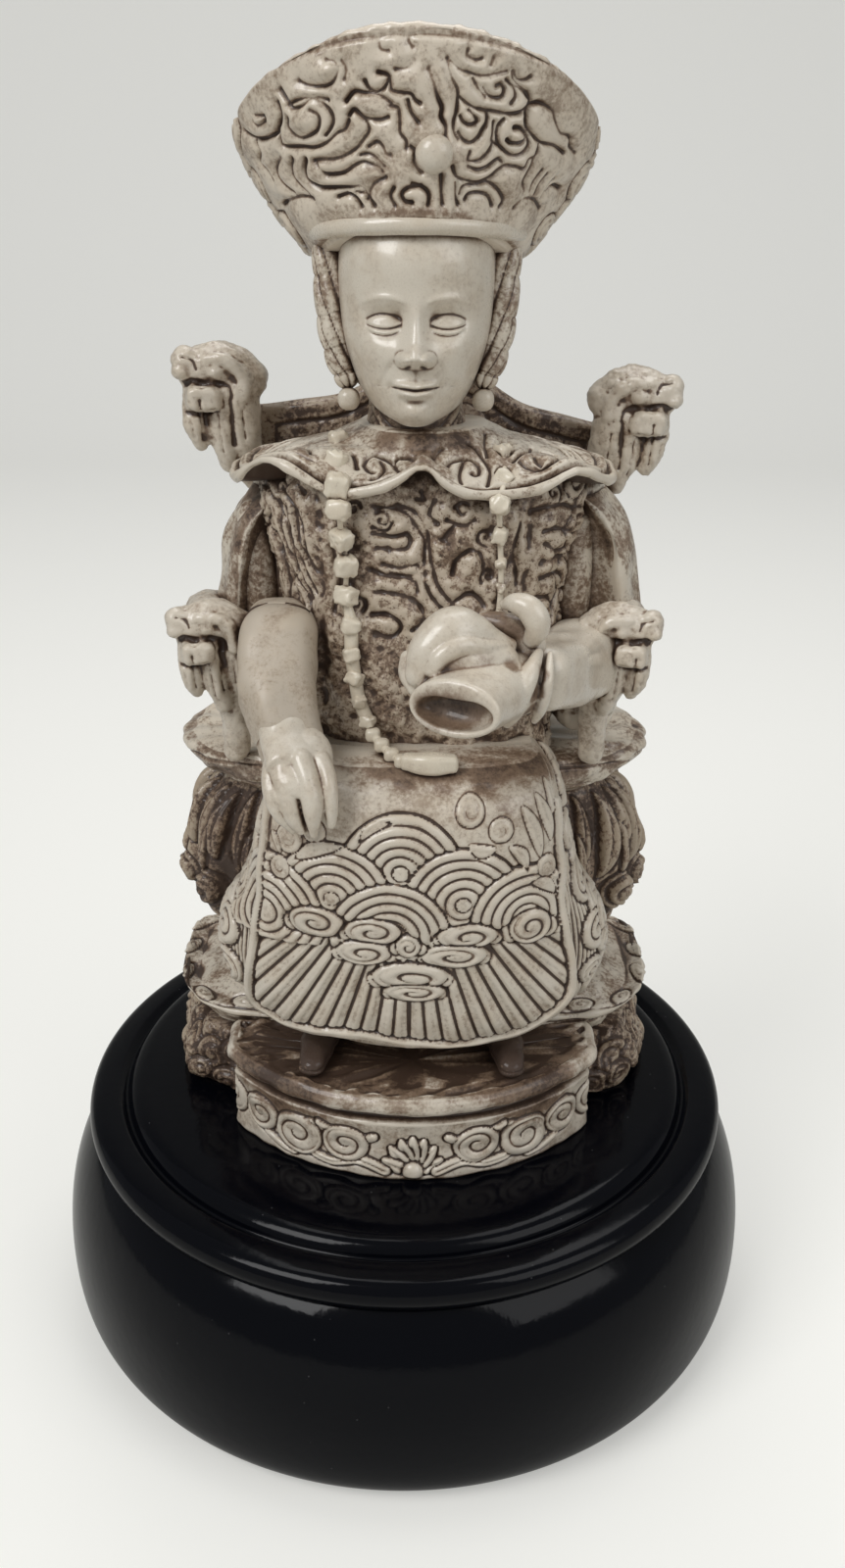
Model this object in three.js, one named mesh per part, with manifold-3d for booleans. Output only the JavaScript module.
// A seated emperor on a dragon throne: a cast and stained figure, glued to a turned and lacquered plinth.
// Millimetres. +X is the viewer's right, -Y is the front, +Z is up. The origin is the middle of the foot.
// Left and right in the names are the viewer's.
import * as THREE from "three";
import { mergeVertices } from "three/addons/utils/BufferGeometryUtils.js";
import Module from "manifold-3d";

const wasm = await Module();
wasm.setup();

// Driving dimensions
const clearance = 0.32; // left between two pieces of the casting
const plinth = {
  bellyRadius: 45,
  ringRadius: 41,
  topRadius: 35,
  footRadius: 41.5,
  height: 31,
  feltRadius: 38,
  feltThickness: 1,
};
const castingOffset = 1; // the casting is glued a little to the right of the plinth's middle
const body = {
  shoulder: 75.5,
  shoulderHalfWidth: 18.5,
  chestFront: -13.2,
  neckRise: 6.5,
  middle: -1,
  shift: 0.8,
};
const robe = {
  hem: 15.8,
  widest: 27.5,
  halfWidth: 22.5,
  kneeHalfWidth: 16.6,
  lap: 50.5,
  front: -25.4,
  waveRadius: 6.3,
  waveRise: 0.6,
};
const head = { chinRise: 2.3, tall: 20.2, halfWidth: 7.9, middle: -4.5, front: -13.2 };
const hat = {
  bandHalfWidth: 10.3,
  bandThickness: 1.1,
  rimHalfWidth: 17.9,
  rimHalfDepth: 16.4,
  height: 15.2,
  lip: 1.3,
  pearlRadius: 1.75,
};
const arm = { sleeveRadius: 4.4, wristRadius: 3.4, fingerRadius: 1.15 };
const hangingSleeve = { leftOutset: 3.7, rightOutset: 6.9, radius: 4.6, wall: 0.9 };
const beadRadius = 1.3;
const stool = { halfWidth: 21.5, front: -25, corner: -14.5, back: -9.2, height: 11.5 };
const throne = {
  outset: 10.5, // past the shoulders
  front: -8.8,
  back: 18,
  footHeight: 8,
  ledgeHeight: 7,
  bodyHeight: 25.6,
  slabHeight: 4.6,
  armRise: 15.04,
  leaves: 22,
  leafRise: 1.4,
};
const backrest = {
  outset: 2, // past the shoulders
  rise: 9, // above the shoulders
  thickness: 3.2,
  y: 9.5,
  cornerDrop: 3,
  lean: 0.05,
  lift: 0.4,
};
const dragonSize = { arm: 0.86, back: 0.96 }; // shares of the head as modelled

// Widths and levels that follow from each other
const throneHalfWidth = body.shoulderHalfWidth + throne.outset;
const backrestHalfWidth = body.shoulderHalfWidth + backrest.outset;
const backrestTop = body.shoulder + backrest.rise;
const neckLevel = body.shoulder + body.neckRise;
const chinLevel = neckLevel + head.chinRise;
const crownLevel = chinLevel + head.tall;
const bandLevel = crownLevel - 2.4;
const ledgeBottom = throne.footHeight + clearance;
const bodyBottom = ledgeBottom + throne.ledgeHeight + clearance;
const slabBottom = bodyBottom + throne.bodyHeight + clearance;
const seatTop = slabBottom + throne.slabHeight;
const armLevel = seatTop + throne.armRise;

// Colours and finishes
const ivory = new THREE.MeshStandardMaterial({ color: 0xcfc4b0, roughness: 0.38, metalness: 0 });
const stainedIvory = new THREE.MeshStandardMaterial({ color: 0x8b7a66, roughness: 0.5, metalness: 0 });
const lacquer = new THREE.MeshStandardMaterial({ color: 0x0a0a0b, roughness: 0.22, metalness: 0 });
const felt = new THREE.MeshStandardMaterial({ color: 0x16181a, roughness: 0.95, metalness: 0 });

// Solids and cuts

// A closed solid from any closed geometry, turned so that its faces point out.
function solidOf(geometry) {
  const bare = new THREE.BufferGeometry();
  bare.setAttribute("position", geometry.getAttribute("position"));
  bare.setIndex(geometry.index);
  const merged = mergeVertices(bare, 1e-4);
  const make = (triVerts) =>
    new wasm.Manifold(
      new wasm.Mesh({ numProp: 3, vertProperties: merged.attributes.position.array, triVerts }),
    );
  const triVerts = Uint32Array.from(merged.index.array);
  const made = make(triVerts);
  if (made.volume() > 0) return made;
  for (let i = 0; i < triVerts.length; i += 3) {
    [triVerts[i + 1], triVerts[i + 2]] = [triVerts[i + 2], triVerts[i + 1]];
  }
  return make(triVerts);
}

function geometryOf(solid) {
  const { vertProperties, triVerts } = solid.getMesh();
  const geometry = new THREE.BufferGeometry();
  geometry.setAttribute("position", new THREE.BufferAttribute(vertProperties, 3));
  geometry.setIndex(new THREE.BufferAttribute(triVerts, 1));
  return geometry;
}

// The same solid with its skin moved outwards, which a neighbour is cut by to keep its clearance.
function grown(solid, by) {
  const geometry = geometryOf(solid);
  geometry.computeVertexNormals();
  const { position, normal } = geometry.attributes;
  for (let i = 0; i < position.count; i++) {
    position.setXYZ(
      i,
      position.getX(i) + by * normal.getX(i),
      position.getY(i) + by * normal.getY(i),
      position.getZ(i) + by * normal.getZ(i),
    );
  }
  return solidOf(geometry);
}

const joined = (...solids) => solids.reduce((whole, next) => whole.add(next));
const mirrored = (solid) => solidOf(geometryOf(solid).applyMatrix4(new THREE.Matrix4().makeScale(-1, 1, 1)));
const largestBody = (solid) =>
  solid.decompose().reduce((largest, next) => (next.volume() > largest.volume() ? next : largest));

// Forms

const upright = new THREE.Vector3(0, 1, 0); // the top direction for limbs that run up and down

const signedPower = (value, power) => Math.sign(value) * Math.abs(value) ** power;

// A closed skin through rings of equally many points, with a fan over each end.
function skin(rings) {
  const sides = rings[0].length;
  const middle = (ring) =>
    ring.reduce((sum, point) => sum.add(point), new THREE.Vector3()).divideScalar(sides);
  const points = [...rings.flat(), middle(rings[0]), middle(rings.at(-1))];
  const first = points.length - 2;
  const last = points.length - 1;
  const index = [];
  for (let i = 0; i < sides; i++) {
    const next = (i + 1) % sides;
    for (let row = 0; row + 1 < rings.length; row++) {
      const a = row * sides;
      const b = a + sides;
      index.push(a + i, a + next, b + next, a + i, b + next, b + i);
    }
    const top = (rings.length - 1) * sides;
    index.push(first, next, i, last, top + i, top + next);
  }
  const geometry = new THREE.BufferGeometry().setFromPoints(points);
  geometry.setIndex(index);
  return solidOf(geometry);
}

// A smooth value between the rows of a table, by a Catmull-Rom curve through each column.
function between(rows, share) {
  const at = share * (rows.length - 1);
  const i = Math.min(Math.floor(at), rows.length - 2);
  const t = at - i;
  const row = (k) => rows[Math.max(0, Math.min(rows.length - 1, k))];
  return rows[0].map((_, column) => {
    const [p0, p1, p2, p3] = [row(i - 1), row(i), row(i + 1), row(i + 2)].map((r) => r[column]);
    const slope1 = (p2 - p0) / 2;
    const slope2 = (p3 - p1) / 2;
    const t2 = t * t;
    const t3 = t2 * t;
    const ahead = 3 * t2 - 2 * t3;
    return (1 - ahead) * p1 + ahead * p2 + (t3 - 2 * t2 + t) * slope1 + (t3 - t2) * slope2;
  });
}

// A standing form: each level is [height, half width, front, back, power], a superellipse on a middle line.
// The lift moves a point up by a rule of its angle and level share, as a waved or raised edge needs.
function standing(levels, shape) {
  const { middle, sides, steps = levels.length - 1, lift = () => 0, ripple = () => 1 } = shape;
  const { turns = Array.from({ length: sides }, (_, i) => (2 * Math.PI * (i + 0.5)) / sides) } = shape;
  const rings = [];
  for (let step = 0; step <= steps; step++) {
    const share = step / steps;
    const [height, halfWidth, front, back, power] = between(levels, share);
    const ring = [];
    turns.forEach((angle, i) => {
      const swell = ripple(angle, share, i);
      const across = signedPower(Math.cos(angle), 2 / power) * swell;
      const along = signedPower(Math.sin(angle), 2 / power) * swell;
      const depth = along < 0 ? middle - front : back - middle;
      ring.push(
        new THREE.Vector3(halfWidth * across, middle + depth * along, height + lift(angle, share)),
      );
    });
    rings.push(ring);
  }
  return skin(rings);
}

// The angles that share out a level by its length round, so that ribs on it come out alike.
function evenTurns([, halfWidth, front, back, power], middle, sides) {
  const at = (angle) => {
    const along = signedPower(Math.sin(angle), 2 / power);
    const depth = along < 0 ? middle - front : back - middle;
    return [halfWidth * signedPower(Math.cos(angle), 2 / power), depth * along];
  };
  const fine = 1440;
  const run = [0];
  for (let k = 1; k <= fine; k++) {
    const [x0, y0] = at((2 * Math.PI * (k - 1)) / fine);
    const [x1, y1] = at((2 * Math.PI * k) / fine);
    run.push(run.at(-1) + Math.hypot(x1 - x0, y1 - y0));
  }
  return Array.from({ length: sides }, (_, i) => {
    const k = run.findIndex((length) => length > (i / sides) * run.at(-1));
    return (2 * Math.PI * (k - 1)) / fine;
  });
}

// A limb along a smooth path of [x, y, z, radius] points, with round ends. Flatness squeezes it along its up.
function limb(stations, shape) {
  const { sides, steps, flatness = 1, up = new THREE.Vector3(0, 0, 1), round = 2 } = shape;
  const centre = (share) => new THREE.Vector3(...between(stations, share).slice(0, 3));
  const rings = [];
  const addRing = (share, shift, scale) => {
    const small = 0.01;
    const along = centre(Math.min(1, share + small)).sub(centre(Math.max(0, share - small))).normalize();
    const side = new THREE.Vector3().crossVectors(along, up).normalize();
    const top = new THREE.Vector3().crossVectors(side, along);
    const radius = between(stations, share)[3];
    const middle = centre(share).addScaledVector(along, shift * radius);
    const ring = [];
    for (let i = 0; i < sides; i++) {
      const angle = (2 * Math.PI * i) / sides;
      ring.push(
        middle
          .clone()
          .addScaledVector(side, radius * scale * Math.cos(angle))
          .addScaledVector(top, radius * scale * flatness * Math.sin(angle)),
      );
    }
    rings.push(ring);
  };
  for (let k = round; k > 0; k--) {
    const angle = (k / (round + 0.5)) * (Math.PI / 2);
    addRing(0, -Math.sin(angle), Math.cos(angle));
  }
  for (let step = 0; step <= steps; step++) addRing(step / steps, 0, 1);
  for (let k = 1; k <= round; k++) {
    const angle = (k / (round + 0.5)) * (Math.PI / 2);
    addRing(1, Math.sin(angle), Math.cos(angle));
  }
  return skin(rings);
}

function ball([x, y, z], [halfX, halfY, halfZ], sides = 10) {
  const geometry = new THREE.SphereGeometry(1, sides, Math.round(sides * 0.7));
  geometry.scale(halfX, halfY, halfZ).translate(x, y, z);
  return solidOf(geometry);
}

// A flat piece cut from an outline in X and Z, standing between two values of Y.
function slice(outline, near, far) {
  const shape = { depth: far - near, bevelEnabled: false, curveSegments: 8 };
  const geometry = new THREE.ExtrudeGeometry(outline, shape);
  geometry.rotateX(Math.PI / 2).translate(0, far, 0);
  return solidOf(geometry);
}

// The plinth

const turnedSides = 32;

// The plinth's profile: a full belly, a neck, a rounded ring, and the raised disc that carries the casting.
function plinthProfile() {
  const { bellyRadius, ringRadius, topRadius, footRadius, height, feltThickness } = plinth;
  const bellyLevel = height * 0.32;
  const neck = { radius: ringRadius - 1.6, level: height * 0.83 };
  const curve = new THREE.Path();
  curve.moveTo(0, feltThickness);
  curve.lineTo(footRadius, feltThickness);
  curve.bezierCurveTo(
    bellyRadius - 0.7,
    feltThickness + 0.4,
    bellyRadius,
    bellyLevel * 0.5,
    bellyRadius,
    bellyLevel,
  );
  curve.bezierCurveTo(
    bellyRadius,
    height * 0.62,
    neck.radius + 2.4,
    neck.level - 1.8,
    neck.radius,
    neck.level,
  );
  curve.lineTo(ringRadius - 0.4, neck.level + 0.6);
  curve.quadraticCurveTo(ringRadius + 0.5, height - 2.8, ringRadius - 0.8, height - 1.3);
  curve.lineTo(topRadius + 2, height - 1);
  curve.lineTo(topRadius + 0.9, height - 1.7);
  curve.quadraticCurveTo(topRadius + 0.5, height, topRadius - 0.6, height);
  curve.lineTo(0, height);
  return curve.getPoints(3);
}

function feltProfile() {
  return [
    new THREE.Vector2(0, 0),
    new THREE.Vector2(plinth.feltRadius, 0),
    new THREE.Vector2(plinth.feltRadius, plinth.feltThickness),
    new THREE.Vector2(0, plinth.feltThickness),
  ];
}

// The throne, from the plinth up

// The footstool has a bowed front, a carved apron under a groove, and a lip that stands proud.
function footstool() {
  const { halfWidth, front, corner, back, height } = stool;
  const rise = corner - front;
  const bowRadius = (halfWidth ** 2 + rise ** 2) / (2 * rise);
  const halfSweep = Math.asin(halfWidth / bowRadius);
  const bowPoints = 12;
  const plan = (outset) => {
    const ring = [];
    for (let i = 0; i <= bowPoints; i++) {
      const angle = halfSweep * ((2 * i) / bowPoints - 1);
      const radius = bowRadius + outset;
      ring.push([radius * Math.sin(angle), front + bowRadius - radius * Math.cos(angle)]);
    }
    const side = ring.at(-1)[0];
    const half = (corner + back) / 2;
    ring.push([side, half], [side, back], [0, back], [-side, back], [-side, half]);
    return ring;
  };
  const apronTop = height * 0.69;
  const lipBottom = height * 0.8;
  const levels = [
    [0, 0],
    [apronTop * 0.5, -0.4],
    [apronTop, 0],
    [apronTop + 0.2, -1],
    [lipBottom, -1],
    [lipBottom + 0.1, 0.4],
    [(lipBottom + height) / 2, 0.9],
    [height, 0.2],
  ];
  return skin(
    levels.map(([level, outset]) => plan(outset).map(([x, y]) => new THREE.Vector3(x, y, level))),
  );
}

// The foot tier is scalloped like a bank of clouds.
function throneFoot() {
  const { front, back, footHeight } = throne;
  const scallops = 12;
  return standing(
    [
      [0, throneHalfWidth - 0.6, front, back, 5],
      [footHeight * 0.35, throneHalfWidth + 0.4, front - 0.3, back + 0.5, 5],
      [footHeight * 0.75, throneHalfWidth - 0.8, front, back, 5],
      [footHeight, throneHalfWidth - 2.6, front + 1, back - 1, 5],
    ],
    {
      middle: (front + back) / 2,
      sides: 36,
      ripple: (angle, share) => 1 + 0.014 * Math.cos(scallops * angle) * Math.sin(Math.PI * share),
    },
  );
}

// The ledge flares like a shallow dish, and its corners turn up.
function throneLedge() {
  const { front, back, ledgeHeight } = throne;
  return standing(
    [
      [ledgeBottom, throneHalfWidth - 3.4, front + 1.4, back - 1.5, 4],
      [ledgeBottom + 0.35 * ledgeHeight, throneHalfWidth - 0.2, front - 0.6, back, 4],
      [ledgeBottom + 0.55 * ledgeHeight, throneHalfWidth + 0.7, front - 1.2, back + 0.6, 4],
      [ledgeBottom + 0.7 * ledgeHeight, throneHalfWidth - 1.8, front + 0.6, back - 1, 4],
      [ledgeBottom + ledgeHeight, throneHalfWidth - 6.5, front + 4, back - 3.5, 4],
    ],
    {
      middle: (front + back) / 2,
      sides: 24,
      steps: 5,
      lift: (angle, share) => 2.2 * Math.cos(angle) ** 4 * Math.sin(Math.PI * Math.min(1, share * 1.4)),
    },
  );
}

// The body swells like a lotus drum and is ribbed with upright leaves, alike all the way round.
function throneBody() {
  const { front, back, bodyHeight, leaves, leafRise } = throne;
  const middle = (front + back) / 2;
  const levels = [
    [bodyBottom, throneHalfWidth - 7, front + 3.2, back - 4, 3.4],
    [bodyBottom + 0.14 * bodyHeight, throneHalfWidth - 5.4, front + 2.2, back - 3, 3.4],
    [bodyBottom + 0.32 * bodyHeight, throneHalfWidth - 2.2, front + 0.6, back - 1.4, 3.2],
    [bodyBottom + 0.58 * bodyHeight, throneHalfWidth - 0.8, front, back - 0.6, 3.2],
    [bodyBottom + 0.84 * bodyHeight, throneHalfWidth - 2.6, front + 1, back - 1.6, 3.2],
    [bodyBottom + bodyHeight, throneHalfWidth - 6, front + 3, back - 3.4, 3.4],
  ];
  const rib = (leafRise / 2) / throneHalfWidth;
  return standing(levels, {
    middle,
    sides: 2 * leaves,
    steps: 4,
    turns: evenTurns(levels[3], middle, 2 * leaves),
    ripple: (angle, share, i) => 1 + (i % 2 ? rib : -rib) * Math.sin(Math.PI * share),
  });
}

// The seat slab is a shallow boat whose ends stand out past the body.
function seatSlab() {
  const { front, back, slabHeight } = throne;
  return standing(
    [
      [slabBottom, throneHalfWidth - 5, front + 0.4, back - 2.4, 2.7],
      [slabBottom + 0.3 * slabHeight, throneHalfWidth - 2.4, front - 0.8, back - 0.8, 2.6],
      [slabBottom + 0.75 * slabHeight, throneHalfWidth - 0.8, front - 1.6, back - 0.2, 2.5],
      [slabBottom + slabHeight, throneHalfWidth - 3, front - 1, back - 1.2, 2.7],
    ],
    { middle: (front + back) / 2, sides: 28, steps: 3 },
  );
}

// The backrest was cast a little crooked: it and its finials lean to the right, on a slight lift.
function leaning(solid) {
  const geometry = geometryOf(solid);
  geometry.translate(0, 0, -seatTop).rotateY(backrest.lean).translate(0, 0, seatTop + backrest.lift);
  return solidOf(geometry);
}

// The backrest is a yoke: its top edge rises behind the neck and sinks towards the corners.
function throneBack() {
  const { thickness, y, cornerDrop } = backrest;
  const [halfWidth, height] = [backrestHalfWidth, backrestTop];
  const bottom = seatTop + clearance;
  const outline = new THREE.Shape();
  outline.moveTo(-halfWidth + 3, bottom);
  outline.lineTo(halfWidth - 3, bottom);
  outline.quadraticCurveTo(halfWidth + 0.5, (bottom + height) / 2, halfWidth, height - cornerDrop);
  outline.quadraticCurveTo(halfWidth * 0.8, height - cornerDrop - 1, halfWidth * 0.45, height - 1);
  outline.quadraticCurveTo(halfWidth * 0.2, height + 2.5, 0, height + 3);
  outline.quadraticCurveTo(-halfWidth * 0.2, height + 2.5, -halfWidth * 0.45, height - 1);
  outline.quadraticCurveTo(-halfWidth * 0.8, height - cornerDrop - 1, -halfWidth, height - cornerDrop);
  outline.quadraticCurveTo(-halfWidth - 0.5, (bottom + height) / 2, -halfWidth + 3, bottom);
  return leaning(slice(outline, y, y + thickness));
}

// A dragon's head that looks to the left: brow, turned-up snout, eye, and three strands of beard below.
function dragonHead(size) {
  const skull = limb(
    [
      [3.4, 0, 1, 2.5],
      [0.6, 0, 2.4, 2.8],
      [-2.6, 0, 1.9, 2.5],
    ],
    { sides: 6, steps: 2, round: 1 },
  );
  const snout = ball([-3.9, -0.4, 2.9], [1.6, 1.9, 1.7], 6);
  const eye = ball([-1.8, -2.2, -1], [2, 1.4, 1.6], 6);
  const strand = (...stations) =>
    limb(stations, { sides: 5, steps: 2, up: upright, round: 1 });
  const head = joined(
    skull,
    snout,
    eye,
    strand([-3, -0.6, 0, 1.2], [-2.9, -1, -4, 1.3], [-2, -0.6, -6.6, 0.9]),
    strand([0, -0.4, 0, 1.4], [0.3, -1, -5, 1.6], [1.4, -0.4, -9, 1.2]),
    strand([2.8, -0.4, 0, 1.4], [3.2, -0.7, -4, 1.5], [3.2, 0, -7.6, 1]),
  );
  return solidOf(geometryOf(head).scale(size, size, size));
}

const moved = (solid, turn, at) => solidOf(geometryOf(solid).rotateZ(turn).translate(...at));

// An arm of the throne: a rail from the backrest ends in a dragon's head beside the sleeve, on a bent post.
function throneArm() {
  const { front } = throne;
  const level = armLevel;
  const reach = throneHalfWidth - 6.6;
  const rail = limb(
    [
      [-backrestHalfWidth + 1.5, backrest.y - 1.6, level - 4, 1.8],
      [-reach - 1, backrest.y - 6.5, level - 0.6, 2.1],
      [-reach - 1.2, front + 5.2, level + 0.6, 2.5],
      [-reach + 0.4, front + 0.2, level + 0.8, 2.4],
    ],
    { sides: 6, steps: 3, round: 1 },
  );
  const post = limb(
    [
      [-reach + 2.2, front + 1, seatTop + 0.8 + clearance, 1.5],
      [-reach + 2, front + 0.8, (seatTop + level) / 2, 1.8],
      [-reach + 0.6, front + 0.4, level - 1.6, 2.4],
    ],
    { sides: 6, steps: 2, up: upright, round: 1 },
  );
  return joined(rail, post, moved(dragonHead(dragonSize.arm), 0.3, [-reach, front - 1, level]));
}

// A finial of the backrest: a neck that leans out from the side, and a dragon's head.
function backFinial() {
  const { y } = backrest;
  const [halfWidth, height] = [backrestHalfWidth, backrestTop];
  const neck = limb(
    [
      [-halfWidth + 1.4, y - 1.6, height - 11.5, 0.9],
      [-halfWidth + 0.2, y - 2, height - 7, 2.3],
      [-halfWidth - 0.8, y - 2.6, height - 1, 3],
    ],
    { sides: 7, steps: 2, up: upright, round: 1 },
  );
  return joined(neck, moved(dragonHead(dragonSize.back), 0.25, [-halfWidth - 2.4, y - 3.2, height - 0.4]));
}

// The robe

const skirtMiddle = robe.front + 12;

const skirtLevels = [
  [robe.hem, robe.halfWidth - 13.5, robe.front + 4.2, throne.front + 1.5, 2.3],
  [robe.hem + 1.2, robe.halfWidth - 8.3, robe.front + 3.1, throne.front + 3.5, 2.4],
  [robe.hem + 3.6, robe.halfWidth - 3.6, robe.front + 2.2, throne.front + 5.5, 2.5],
  [(robe.hem + robe.widest) / 2 + 1, robe.halfWidth - 1.1, robe.front + 1.6, throne.front + 5.5, 2.5],
  [robe.widest, robe.halfWidth, robe.front + 1, throne.front + 5.5, 2.3],
  [robe.widest + 4, robe.halfWidth - 1, robe.front + 0.5, throne.front + 5.5, 2.3],
  [robe.widest + 8, (robe.halfWidth + robe.kneeHalfWidth) / 2 - 0.6, robe.front, throne.front + 5.5, 2.6],
  [robe.lap - 9, robe.kneeHalfWidth + 0.8, robe.front, throne.front + 5.5, 2.9],
  [robe.lap - 5, robe.kneeHalfWidth, robe.front + 0.3, throne.front + 5.5, 3],
  [robe.lap - 2.2, robe.kneeHalfWidth - 1, robe.front + 1.8, throne.front + 5.5, 3],
  [robe.lap, robe.kneeHalfWidth - 3.4, robe.front + 6, throne.front + 5.5, 2.8],
];

// The front of a standing form at a height and a distance from the middle line.
function frontAt(levels, middle, x, z) {
  const heights = levels.map((level) => level[0]);
  let row = heights.findIndex((height) => height > z);
  if (row < 1) row = row === 0 ? 1 : heights.length - 1;
  const share = (row - 1 + (z - heights[row - 1]) / (heights[row] - heights[row - 1])) / (heights.length - 1);
  const [, halfWidth, front, , power] = between(levels, share);
  const across = Math.min(0.98, Math.abs(x) / halfWidth);
  return middle - (middle - front) * (1 - across ** power) ** (1 / power);
}

// A wave on the hem panel: a low round fan that lies on the skirt.
function waveFan([x, z]) {
  const { waveRadius, waveRise } = robe;
  const sides = 8;
  const ringAt = (radius, rise) =>
    Array.from({ length: sides }, (_, i) => {
      const turn = (2 * Math.PI * (i + 0.5)) / sides;
      const [across, up] = [x + radius * Math.cos(turn), z + radius * Math.sin(turn)];
      return new THREE.Vector3(across, frontAt(skirtLevels, skirtMiddle, across, up) - rise, up);
    });
  return skin([ringAt(1.1 * waveRadius, -0.5), ringAt(0.6 * waveRadius, waveRise)]);
}

// The skirt falls from the lap over the knees, flares to two points at the sides and closes to a round hem.
// Waves overlap on its front.
function robeSkirt() {
  const { lap } = robe;
  const fans = [
    [-1.2, lap - 9.9],
    [-8.5, lap - 13.1],
    [5.4, lap - 13.5],
    [-2.4, lap - 17.7],
    [12.4, lap - 15.9],
  ];
  return joined(standing(skirtLevels, { middle: skirtMiddle, sides: 24, steps: 12 }), ...fans.map(waveFan));
}

const torsoLevels = [
  [seatTop - 2, 14.8, body.chestFront + 0.2, 8.4, 2.8],
  [robe.lap + 2, 14.6, body.chestFront - 0.6, 8.4, 2.7],
  [robe.lap + 10, 14.2, body.chestFront - 0.4, 8.4, 2.6],
  [robe.lap + 17, 15, body.chestFront, 8.2, 2.6],
  [body.shoulder - 2, 17.2, body.chestFront + 0.6, 7.8, 2.6],
  [body.shoulder + 1.5, body.shoulderHalfWidth - 1, body.chestFront + 1.1, 7.4, 2.4],
  [body.shoulder + 3.6, 15.2, body.chestFront + 2, 6.2, 2.2],
  [neckLevel - 1, 8.6, body.chestFront + 4.2, 4.2, 2],
];

function robeTorso() {
  return standing(torsoLevels, { middle: body.middle, sides: 20 });
}

// The collar's edge: [turn from the middle of the front, rise over the shoulder].
const collarEdge = [
  [0, 5.4],
  [0.13, 3.2],
  [0.27, 2.3],
  [0.42, 2.7],
  [0.6, 4.6],
  [0.79, 5.4],
  [1, 4.8],
  [1.3, 2.8],
  [1.7, 2.1],
  [2.1, 2.3],
  [2.5, 2.5],
  [2.85, 2.3],
  [Math.PI, 2.1],
];

// The cloud collar lies on the shoulders. Its edge rises in three arches over the chest.
function cloudCollar() {
  const { shoulder, shoulderHalfWidth, chestFront, middle } = body;
  const front = -Math.PI / 2;
  const columns = [...collarEdge, ...collarEdge.slice(1, -1).map(([turn, rise]) => [-turn, rise])];
  columns.sort(([a], [b]) => a - b);
  const rises = new Map(columns.map(([turn, rise]) => [front + turn, rise]));
  return standing(
    [
      [shoulder, shoulderHalfWidth + 1.7, chestFront - 0.6, 8.4, 2.5],
      [shoulder + 1.1, shoulderHalfWidth + 2, chestFront - 0.9, 8.8, 2.5],
      [shoulder + 3.7, shoulderHalfWidth - 2.6, chestFront + 1.4, 7.2, 2.3],
      [neckLevel - 0.4, 9.8, chestFront + 3, 5.6, 2.1],
      [neckLevel + 1.2, 6.6, chestFront + 4.4, 3.4, 2],
    ],
    {
      middle,
      turns: [...rises.keys()],
      sides: columns.length,
      lift: (angle, share) => rises.get(angle) * Math.cos((Math.PI / 2) * Math.min(1, share / 0.75)) ** 1.2,
    },
  );
}

function neckPiece() {
  const { middle } = body;
  return standing(
    [
      [neckLevel - 1.5, 6, middle - 6.6, middle + 5, 2],
      [neckLevel + 1, 5, middle - 6.2, middle + 4, 2],
      [neckLevel + 4, 4.6, middle - 6, middle + 3.6, 2],
      [neckLevel + 8, 4.6, middle - 5, middle + 4, 2],
    ],
    { middle: middle - 0.6, sides: 8, steps: 3 },
  );
}

// A hanging outer sleeve on the left: a shell from the shoulder to the seat, hollow and open to the front.
function outerSleeve(reach) {
  const { radius, wall } = hangingSleeve;
  const top = body.shoulder + 0.6;
  const outer = [
    [-reach + radius + 4.4, 1.6, top, radius - 0.6],
    [-reach + radius + 2, 1.2, top - 4, radius],
    [-reach + radius + 0.6, 1, top - 11, radius],
    [-reach + radius, 0.6, seatTop + 10, radius],
    [-reach + radius + 1.6, 0, seatTop + radius, radius - 0.6],
  ];
  const hollow = outer.map(([x, y, z, r]) => [x + 1.2, y - 9.6, z - 0.6, r - wall]);
  const shape = { sides: 10, steps: 5, flatness: 1.5, up: upright, round: 1 };
  const envelope = limb(outer, shape);
  return { envelope, shell: envelope.subtract(limb(hollow, shape)) };
}

// The figure

// The head is an egg with a soft brow, a nose and lips, on plain canon proportions.
function headForm() {
  const { tall, halfWidth, middle, front } = head;
  const chin = chinLevel;
  return standing(
    [
      [chin, 2.4, front + 1.6, middle + 1.5, 2],
      [chin + 0.06 * tall, 4.4, front + 0.7, middle + 4, 2],
      [chin + 0.18 * tall, halfWidth - 1.9, front + 0.3, middle + 7, 2.1],
      [chin + 0.36 * tall, halfWidth - 0.6, front, middle + 9, 2.2],
      [chin + 0.55 * tall, halfWidth, front + 0.5, middle + 10.5, 2.2],
      [chin + 0.78 * tall, halfWidth, front - 0.1, middle + 11, 2.2],
      [crownLevel, halfWidth - 0.6, front + 1.8, middle + 10.4, 2.2],
    ],
    { middle, sides: 18, steps: 8 },
  );
}

function noseForm() {
  const { tall, front } = head;
  const chin = chinLevel;
  return limb(
    [
      [0, front + 0.5, chin + 0.62 * tall, 0.7],
      [0, front - 0.2, chin + 0.5 * tall, 0.9],
      [0, front - 0.8, chin + 0.39 * tall, 1.3],
    ],
    { sides: 7, steps: 3, up: upright },
  );
}

// A lock of plaited hair hangs beside the face from under the hat, and an ear stud hangs below it.
function sideLock() {
  const { halfWidth, middle } = head;
  const top = bandLevel - 1;
  return limb(
    [
      [-halfWidth - 1, middle + 0.9, top, 1.5],
      [-halfWidth - 0.7, middle - 0.1, top - 5, 1.6],
      [-halfWidth - 0.2, middle - 0.7, top - 9.5, 1.4],
      [-halfWidth + 0.6, middle - 1.1, top - 12.6, 1],
    ],
    { sides: 7, steps: 5, up: upright, round: 1 },
  );
}

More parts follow.
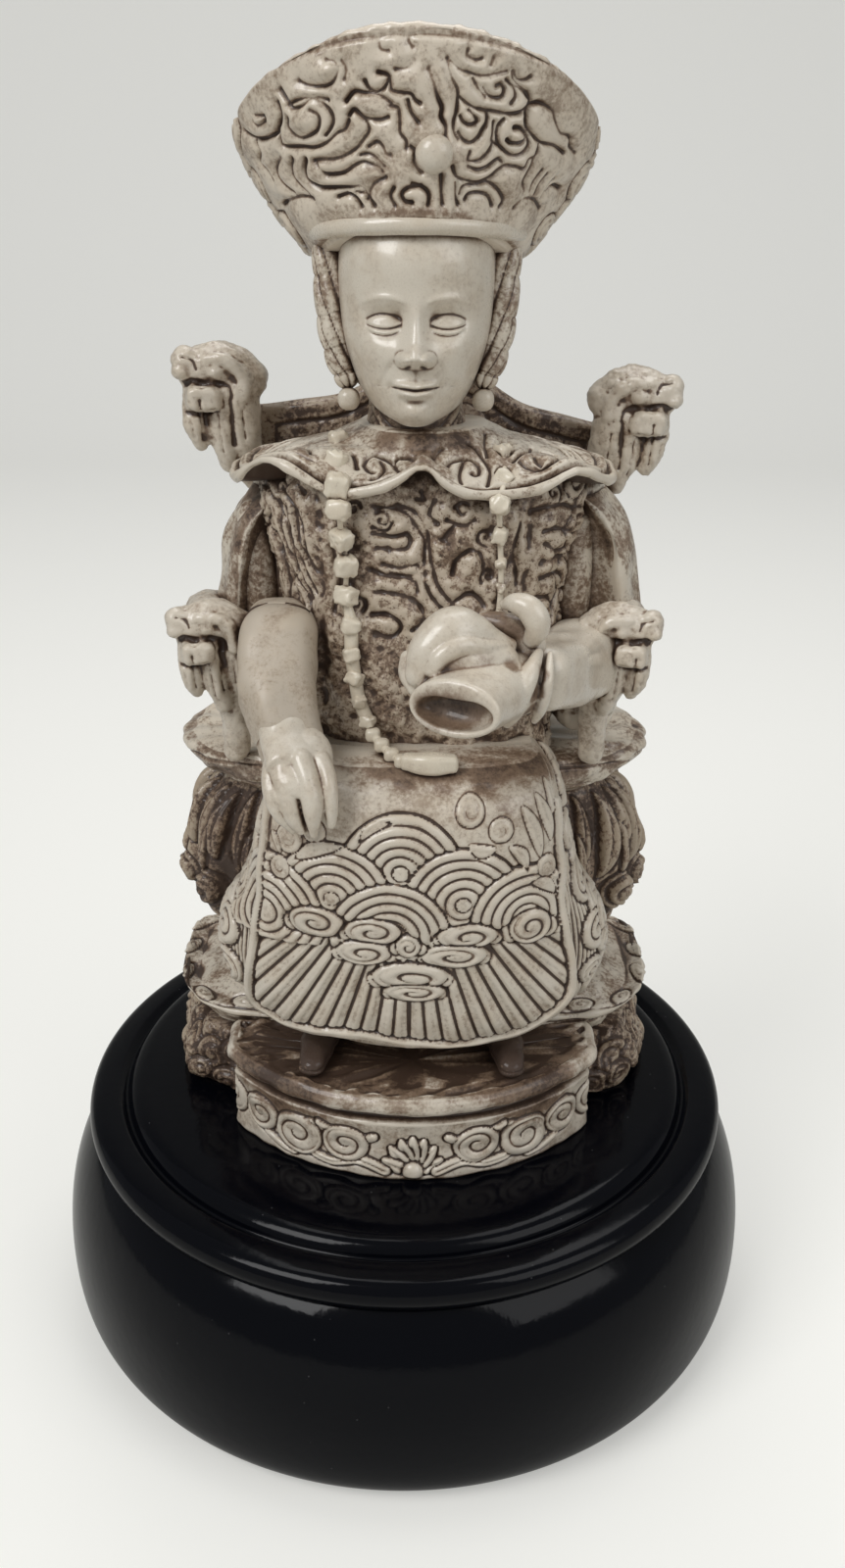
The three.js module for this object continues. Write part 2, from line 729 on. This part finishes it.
function earStud() {
  const { halfWidth, middle } = head;
  return ball([-halfWidth + 0.9, middle - 1.7, bandLevel - 15.9], [1.15, 1.1, 1.15], 7);
}

// The hat

const bandMiddle = head.middle + 2;

function hatBand() {
  const { bandHalfWidth, bandThickness } = hat;
  const sides = 20;
  const section = 5;
  const stations = [];
  for (let i = 0; i < sides; i++) {
    const angle = (2 * Math.PI * i) / sides;
    const tilt = -1.3 * Math.sin(angle);
    stations.push([Math.cos(angle), Math.sin(angle), tilt]);
  }
  const points = [];
  const index = [];
  stations.forEach(([across, along, tilt], i) => {
    for (let k = 0; k < section; k++) {
      const turn = (2 * Math.PI * k) / section;
      const radius = bandHalfWidth + bandThickness * Math.cos(turn);
      const height = bandLevel + tilt + bandThickness * Math.sin(turn);
      points.push(new THREE.Vector3(radius * across, bandMiddle + radius * along, height));
      const next = (i + 1) % sides;
      const up = (k + 1) % section;
      const [a, b, c, d] = [i * section + k, next * section + k, next * section + up, i * section + up];
      index.push(a, b, c, a, c, d);
    }
  });
  const geometry = new THREE.BufferGeometry().setFromPoints(points);
  geometry.setIndex(index);
  return solidOf(geometry);
}

// How far the rim stands above the head's crown line: high in front, low behind.
function rimHeight(angle) {
  const towardsFront = -Math.sin(angle);
  return hat.height * (0.445 + 0.415 * towardsFront + 0.14 * towardsFront ** 2);
}

// The crown is a bowl. It springs from the band in front and from below it at the sides and back, runs out
// in a straight slope, turns upright at a tilted rim, and is dished on top inside a narrow lip.
function hatCrown() {
  const { bandHalfWidth, rimHalfWidth, rimHalfDepth, bandThickness, lip } = hat;
  const footHalfWidth = bandHalfWidth - 0.7;
  const sides = 24;
  const rings = [];
  const addRing = (flare, rise, inset, drop) => {
    const ring = [];
    for (let i = 0; i < sides; i++) {
      const angle = (2 * Math.PI * (i + 0.5)) / sides;
      const footLevel = bandLevel - 2.8 - (2.8 + bandThickness) * Math.sin(angle);
      const footMiddle = bandMiddle + 0.6;
      const halfWidth = footHalfWidth + (rimHalfWidth - footHalfWidth) * flare - inset;
      const halfDepth = bandHalfWidth + 1 + (rimHalfDepth - bandHalfWidth - 1) * flare - inset;
      const middle = footMiddle * (1 - flare) + 0.4 * flare;
      const rim = crownLevel + rimHeight(angle);
      ring.push(
        new THREE.Vector3(
          halfWidth * Math.cos(angle),
          middle + halfDepth * Math.sin(angle),
          footLevel + (rim - footLevel) * rise - drop,
        ),
      );
    }
    rings.push(ring);
  };
  const courses = 4;
  for (let step = 0; step <= courses; step++) {
    const t = step / courses;
    addRing(2 * t * (1 - t) + t * t, 2 * t * (1 - t) * 0.7 + t * t, 0, 0);
  }
  addRing(1, 1, lip, 0);
  addRing(1, 1, lip + 0.3, 1);
  addRing(0.35, 1, 0, 0.3);
  return skin(rings);
}

// The pearl sits on the front of the crown, half way up.
function hatPearl() {
  const { rimHalfDepth, height, pearlRadius } = hat;
  return ball(
    [1.6, -rimHalfDepth + 1.9, bandLevel + height * 0.49],
    [pearlRadius, pearlRadius * 0.8, pearlRadius],
    9,
  );
}

// Arms and hands

const raisedWrist = new THREE.Vector3(12.8, -23.8, robe.lap + 11.5);
const restingWrist = new THREE.Vector3(4.1 - robe.kneeHalfWidth, robe.front + 5.8, robe.lap + 3.3);

// Stations of a limb that are written as offsets from a joint of the body.
const from = (joint, stations) =>
  stations.map(([x, y, z, radius]) => [joint.x + x, joint.y + y, joint.z + z, radius]);

function leftForearm() {
  const { sleeveRadius, wristRadius } = arm;
  const { shoulder, shoulderHalfWidth, chestFront } = body;
  const elbow = [4.1 - shoulderHalfWidth, chestFront + 3.2, shoulder - 12.1, sleeveRadius - 0.8];
  const rest = from(restingWrist, [
    [-1.9, 6.6, 7.2, sleeveRadius],
    [-1.5, 3.4, 3.8, sleeveRadius],
    [0, 0, 0, wristRadius],
  ]);
  return limb([elbow, ...rest], { sides: 11, steps: 4, round: 1 });
}

function leftHand() {
  const { wristRadius, fingerRadius } = arm;
  const palm = limb(
    from(restingWrist, [
      [0.5, -0.8, -0.6, wristRadius],
      [1.1, -3.4, -2.4, wristRadius + 0.5],
      [1.5, -5.4, -4, wristRadius],
    ]),
    { sides: 9, steps: 3, flatness: 0.62, round: 1 },
  );
  const finger = (x, spread, length) =>
    limb(
      from(restingWrist, [
        [x, -5.4, -3.4, fingerRadius],
        [x + spread * 0.5, -7.2, -3.4 - length * 0.55, fingerRadius],
        [x + spread, -7, -3.4 - length, fingerRadius * 0.4],
      ]),
      { sides: 6, steps: 2, up: upright, round: 1 },
    );
  const thumb = limb(
    from(restingWrist, [
      [3.5, -3.4, -1.8, fingerRadius],
      [4.7, -6, -4.2, fingerRadius],
      [4.9, -7, -7.4, fingerRadius * 0.4],
    ]),
    { sides: 6, steps: 2, up: upright, round: 1 },
  );
  return joined(palm, finger(-1.1, -0.4, 3.6), finger(0.5, 0, 4.4), finger(2.3, 0.2, 5), thumb);
}

function rightForearm() {
  const { sleeveRadius, wristRadius } = arm;
  const { shoulderHalfWidth, chestFront } = body;
  const elbow = [shoulderHalfWidth - 0.3, chestFront + 4.2, raisedWrist.z - 3.2, sleeveRadius];
  const rest = from(raisedWrist, [
    [4.2, 9.8, -2.2, sleeveRadius],
    [2.2, 4.4, -1, sleeveRadius - 0.4],
    [0, 0, 0, wristRadius + 0.2],
  ]);
  return limb([elbow, ...rest], { sides: 11, steps: 4, round: 1 });
}

// The cuff is cut like a horse's hoof: a horn that flares to an oval mouth, under a hood.
function hoofCuff() {
  const { wristRadius } = arm;
  const horn = limb(
    from(raisedWrist, [
      [-0.6, -1.4, 0.6, wristRadius + 0.2],
      [-3.4, -4.6, 2.4, wristRadius + 0.9],
      [-6, -7.6, 2.4, wristRadius + 1.3],
      [-7.8, -10.2, 1.2, wristRadius + 1.1],
    ]),
    { sides: 11, steps: 3, flatness: 0.8, round: 1 },
  );
  const hood = limb(
    from(raisedWrist, [
      [-3.2, -3.6, 4.4, wristRadius - 0.8],
      [-6.4, -5.8, 5.4, wristRadius - 0.3],
      [-9.4, -7.8, 4, wristRadius - 0.6],
    ]),
    { sides: 8, steps: 2, round: 1 },
  );
  const bangle = limb(
    from(raisedWrist, [
      [-0.8, -1.8, 0.8, wristRadius + 0.8],
      [-1.5, -2.6, 1.2, wristRadius + 0.8],
    ]),
    { sides: 11, steps: 1, round: 1 },
  );
  const mouth = limb(
    from(raisedWrist, [
      [-6.4, -8.6, 1.6, wristRadius - 0.6],
      [-7.8, -10.6, 0.9, wristRadius + 0.1],
      [-9.8, -14.2, -0.4, wristRadius + 0.5],
    ]),
    { sides: 10, steps: 2, flatness: 0.62, round: 1 },
  );
  return joined(horn, hood, bangle).subtract(mouth);
}

function rightThumb() {
  return limb(
    from(raisedWrist, [
      [-4.4, -4.8, 5.8, 1.6],
      [-3, -5, 7, 1.9],
      [-1.8, -4.2, 7.2, 2.1],
    ]),
    { sides: 8, steps: 2, round: 2 },
  );
}

// A shoe rests on the footstool, its toe pointing to the front.
function shoe() {
  const { halfWidth, corner, height } = stool;
  const sole = height + clearance;
  const [heelRadius, toeRadius] = [2.2, 1.4];
  const flatness = 0.78;
  return limb(
    [
      [-halfWidth * 0.49, corner + 4.9, sole + heelRadius * flatness, heelRadius],
      [-halfWidth * 0.51, corner - 0.5, sole + heelRadius * flatness, heelRadius],
      [-halfWidth * 0.54, corner - 5.5, sole + toeRadius * flatness, toeRadius],
    ],
    { sides: 8, steps: 3, flatness, round: 1 },
  );
}

// Court beads

// A string of beads down the chest from one side of the neck: a cord that swells to a bead and back.
function beadString(line, beadCount, proud) {
  const course = line.map(([x, z]) => [x, frontAt(torsoLevels, body.middle, x, z) - proud, z]);
  const stations = [];
  for (let i = 0; i <= 3 * beadCount; i++) {
    const radius = i % 3 === 0 ? beadRadius * 0.5 : beadRadius;
    stations.push([...between(course, i / (3 * beadCount)), radius]);
  }
  return limb(stations, { sides: 5, steps: stations.length - 1, up: upright, round: 1 });
}

function leftBeads() {
  const { shoulder } = body;
  const line = [
    [-8, neckLevel - 1.4],
    [-8.4, shoulder + 0.5],
    [-7.6, shoulder - 5.5],
    [-6.6, shoulder - 11.5],
    [-6, shoulder - 17.5],
    [-4.6, robe.lap + 2.4],
  ];
  return beadString(line, 10, 0.9);
}

function rightBeads() {
  const { shoulder } = body;
  const line = [
    [8, neckLevel - 1.4],
    [8.2, shoulder + 0.5],
    [8.4, shoulder - 5.5],
    [8.2, shoulder - 11],
  ];
  return beadString(line, 6, 0.8);
}

// The pendant lies on the lap, in line with the end of the string.
function pendant() {
  const onLap = robe.lap + 1.1;
  const { front } = robe;
  return limb(
    [
      [-3.6, front + 9.8, onLap + 0.8, 1],
      [-1, front + 7.4, onLap, 1.2],
      [1.8, front + 6.2, onLap, 1.4],
      [3.6, front + 6, onLap - 0.2, 1],
    ],
    { sides: 7, steps: 4, round: 1 },
  );
}

// Assembly. A piece is cut by those before it: the plain forms come first and the small ones fit round them.

const casting = new THREE.Group();
casting.position.set(castingOffset, 0, plinth.height);
const placed = [];

const apart = (a, b) =>
  [0, 1, 2].some((axis) => a.min[axis] > b.max[axis] + 1 || b.min[axis] > a.max[axis] + 1);

// A thin shell is grown from the envelope it was hollowed out of.
function place(name, form, material, envelope = form) {
  let solid = form;
  for (const other of placed) {
    if (!apart(solid.boundingBox(), other.box)) solid = solid.subtract(other.grown);
  }
  solid = largestBody(solid);
  placed.push({ box: envelope.boundingBox(), grown: grown(envelope, clearance * 1.15) });
  const mesh = new THREE.Mesh(geometryOf(solid), material);
  mesh.name = name;
  casting.add(mesh);
}

function placePair(name, form, material) {
  place(`${name}_left`, form, material);
  place(`${name}_right`, mirrored(form), material);
}

place("robe_skirt", robeSkirt(), ivory);
place("robe_torso", robeTorso().translate(body.shift, 0, 0), stainedIvory);
place("head", joined(headForm(), noseForm()), ivory);
place("hat_band", hatBand(), ivory);
place("hat_crown", hatCrown(), ivory);
place("hat_pearl", hatPearl(), ivory);
place("neck", neckPiece(), stainedIvory);
place("cloud_collar", cloudCollar().translate(body.shift, 0, 0), ivory);
placePair("side_lock", sideLock(), ivory);
placePair("ear_stud", earStud(), ivory);
place("sleeve_forearm_left", leftForearm(), ivory);
place("sleeve_forearm_right", rightForearm(), ivory);
place("hoof_cuff", hoofCuff(), ivory);
place("thumb_right", rightThumb(), ivory);
place("hand_left", leftHand(), ivory);
place("court_beads_left", leftBeads(), ivory);
place("court_beads_right", rightBeads(), ivory);
place("court_beads_pendant", pendant(), ivory);
const leftHanging = outerSleeve(body.shoulderHalfWidth + hangingSleeve.leftOutset);
const rightHanging = outerSleeve(body.shoulderHalfWidth + hangingSleeve.rightOutset);
place("outer_sleeve_left", leftHanging.shell, stainedIvory, leftHanging.envelope);
place("outer_sleeve_right", mirrored(rightHanging.shell), stainedIvory, mirrored(rightHanging.envelope));
place("seat_slab", seatSlab(), ivory);
place("throne_body", throneBody(), stainedIvory);
place("throne_ledge", throneLedge(), ivory);
place("throne_foot", throneFoot(), stainedIvory);
place("footstool", footstool(), ivory);
placePair("shoe", shoe(), stainedIvory);
place("throne_back", throneBack(), stainedIvory);
place("back_finial_left", leaning(backFinial()), ivory);
place("back_finial_right", leaning(mirrored(backFinial())), ivory);
placePair("throne_arm", throneArm(), ivory);

const figure = new THREE.Group();
figure.add(casting);

for (const [name, profile, material] of [
  ["plinth", plinthProfile(), lacquer],
  ["felt_pad", feltProfile(), felt],
]) {
  const mesh = new THREE.Mesh(new THREE.LatheGeometry(profile, turnedSides), material);
  mesh.name = name;
  mesh.rotation.x = Math.PI / 2;
  figure.add(mesh);
}

export default figure;
